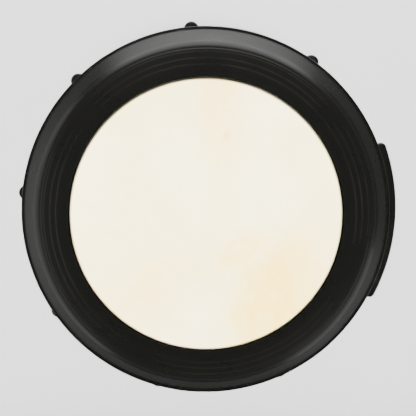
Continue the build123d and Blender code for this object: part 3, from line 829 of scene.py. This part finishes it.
def first_bolt():
    """One whole bolt standing on the Z axis, at the height of the real ones."""
    low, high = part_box("tension_bolt_1")
    under_head = low.z + HEAD_HEIGHT
    head = hexagon_head(low.z, under_head)
    shank = threaded_shank(under_head - 0.0002, high.z)
    deselect_all()
    reach = THREAD_CREST - TIP_CHAMFER
    bpy.ops.mesh.primitive_cone_add(
        vertices=48, radius1=reach + TIP_CONE, radius2=reach, depth=TIP_CONE,
        location=(0, 0, high.z - TIP_CONE / 2),
    )
    trimmer = bpy.context.object
    deselect_all()
    apply_modifier(shank, "BOOLEAN", operation="INTERSECT", object=trimmer, solver="EXACT")
    bpy.data.objects.remove(trimmer)
    deselect_all()
    shank.select_set(True)
    head.select_set(True)
    bpy.context.view_layer.objects.active = head
    bpy.ops.object.join()
    bpy.ops.object.shade_smooth_by_angle(angle=math.radians(28))
    return head


pattern_bolt = first_bolt()
for number in range(1, BOLT_COUNT + 1):
    low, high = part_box(f"tension_bolt_{number}")
    centre = (low + high) / 2
    bolt = pattern_bolt.copy()
    bolt.data = pattern_bolt.data.copy()
    bolt.name = bolt.data.name = f"hex_bolt_{number}"
    bpy.context.scene.collection.objects.link(bolt)
    deselect_all()
    bolt.select_set(True)
    bpy.context.view_layer.objects.active = bolt
    bpy.ops.object.mode_set(mode="EDIT")
    bpy.ops.mesh.select_all(action="SELECT")
    turn = math.atan2(centre.y, centre.x)
    bpy.ops.transform.rotate(value=-turn, orient_axis="Z", center_override=(0, 0, 0))
    bpy.ops.transform.translate(value=(centre.x, centre.y, 0))
    bpy.ops.object.mode_set(mode="OBJECT")
    bolt.data.materials.append(BOLT_FINISH)
    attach(bolt, f"bolt_{number}")
    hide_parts(f"tension_bolt_{number}")
bpy.data.objects.remove(pattern_bolt)


# ------------------------------------------------------------------------------------------------
# Floor. A plain pale sheet under the drum, wide enough to reach the horizon from any side. Its grey
# is matt, with the faintest tooth.

FLOOR_REACH = 6.0
FLOOR_GREY = (0.29, 0.29, 0.29, 1.0)
FLOOR_TOOTH = (0.30, 0.30, 0.30, 1.0)


def pale_floor():
    """Matt pale grey, with the faintest tooth."""
    material, tree, shader = new_material("pale_floor")
    point = own_point(tree)
    tooth = noise(tree, point, 400.0, 3.0)
    tree.links.new(blend_colours(tree, tooth, FLOOR_GREY, FLOOR_TOOTH), shader.inputs["Base Color"])
    shader.inputs["Roughness"].default_value = 0.9
    shader.inputs["Specular IOR Level"].default_value = 0.1
    return material


deselect_all()
bpy.ops.mesh.primitive_circle_add(vertices=96, radius=FLOOR_REACH, fill_type="NGON", location=(0, 0, 0))
floor = bpy.context.object
floor.name = "floor"
floor.data.materials.append(pale_floor())


# ------------------------------------------------------------------------------------------------
# Light. A gridded lamp overhead lights the skin and the floor about the drum. A tall white screen
# stands beyond the head, with dimmer ones to its left and near right, for the lacquer to mirror.

WALL_GREY = 0.9
CEILING_GREY = 0.2
LAMP_PLACE = (0.0, -0.02)
LAMP_HEIGHT = 1.5
LAMP_SIDE = 0.74
LAMP_POWER = 10.9
LAMP_SPREAD = math.radians(9)  # what its grid lets through
SCREEN_HEIGHT = 1.16
SCREENS = [  # name, where it stands, what it faces, width, power
    ("far_screen", (0.08, 1.08), (0.08, 0.0), 1.6, 52.0),
    ("left_screen", (-1.02, -0.2), (0.0, 0.0), 2.3, 20.0),
    ("near_screen", (0.83, -0.69), (0.0, 0.0), 0.9, 8.0),
]


def soft_box(name, place_at, aim, width, depth, power):
    """A rectangular area light that looks from place_at to aim."""
    light = bpy.data.lights.new(name, "AREA")
    light.shape = "RECTANGLE"
    light.size, light.size_y, light.energy = width, depth, power
    lamp = bpy.data.objects.new(name, light)
    bpy.context.scene.collection.objects.link(lamp)
    lamp.location = place_at
    lamp.rotation_euler = (Vector(aim) - Vector(place_at)).to_track_quat("-Z", "Y").to_euler()
    lamp.visible_camera = False
    return lamp


def dim_room():
    """A world that is grey at the height of walls and dim above them."""
    world = bpy.data.worlds.new("room")
    world.use_nodes = True
    tree = world.node_tree
    facing = place(tree, "ShaderNodeTexCoord").outputs["Generated"]
    rise = place(tree, "ShaderNodeSeparateXYZ", {0: facing}).outputs["Z"]
    level = step_between(tree, rise, 0.2, 0.75, WALL_GREY, CEILING_GREY)
    tree.links.new(level, tree.nodes["Background"].inputs["Strength"])
    tree.nodes["Background"].inputs["Color"].default_value = (1.0, 1.0, 1.0, 1.0)
    return world


bpy.context.scene.world = dim_room()
lamp_at, lamp_aim = (*LAMP_PLACE, LAMP_HEIGHT), (*LAMP_PLACE, 0)
overhead = soft_box("overhead", lamp_at, lamp_aim, LAMP_SIDE, LAMP_SIDE, LAMP_POWER)
overhead.data.spread = LAMP_SPREAD
overhead.visible_glossy = False
for name, stands, faces, width, power in SCREENS:
    middle = SCREEN_HEIGHT / 2
    soft_box(name, (*stands, middle), (*faces, middle), width, SCREEN_HEIGHT, power)


# ------------------------------------------------------------------------------------------------
# Camera. It looks almost straight down on the head, from a little way towards +Y. The lens is
# shifted a little, to put the head where it belongs in the frame.

HEAD_MIDDLE = Vector((0, 0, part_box("skin")[1].z))
CAMERA_DISTANCE = 1.4
CAMERA_TILT = math.radians(6.7)  # off the drum's axis
CAMERA_BEARING = math.radians(95)
VIEW_WIDTH = 0.416  # what the frame takes in at the height of the head
SENSOR_WIDTH = 36.0
LENS_SHIFT = (0.0044, 0.018)

lens = bpy.data.cameras.new("camera")
camera = bpy.data.objects.new("camera", lens)
bpy.context.scene.collection.objects.link(camera)
towards = Vector((
    math.sin(CAMERA_TILT) * math.cos(CAMERA_BEARING),
    math.sin(CAMERA_TILT) * math.sin(CAMERA_BEARING),
    math.cos(CAMERA_TILT),
))
camera.location = HEAD_MIDDLE + towards * CAMERA_DISTANCE
right = Vector((0, 1, 0)).cross(towards).normalized()
upright = towards.cross(right)
camera.rotation_euler = Matrix((right, upright, towards)).transposed().to_euler()
lens.sensor_width = SENSOR_WIDTH
lens.lens = SENSOR_WIDTH * CAMERA_DISTANCE / VIEW_WIDTH
lens.shift_x, lens.shift_y = LENS_SHIFT
bpy.context.scene.camera = camera
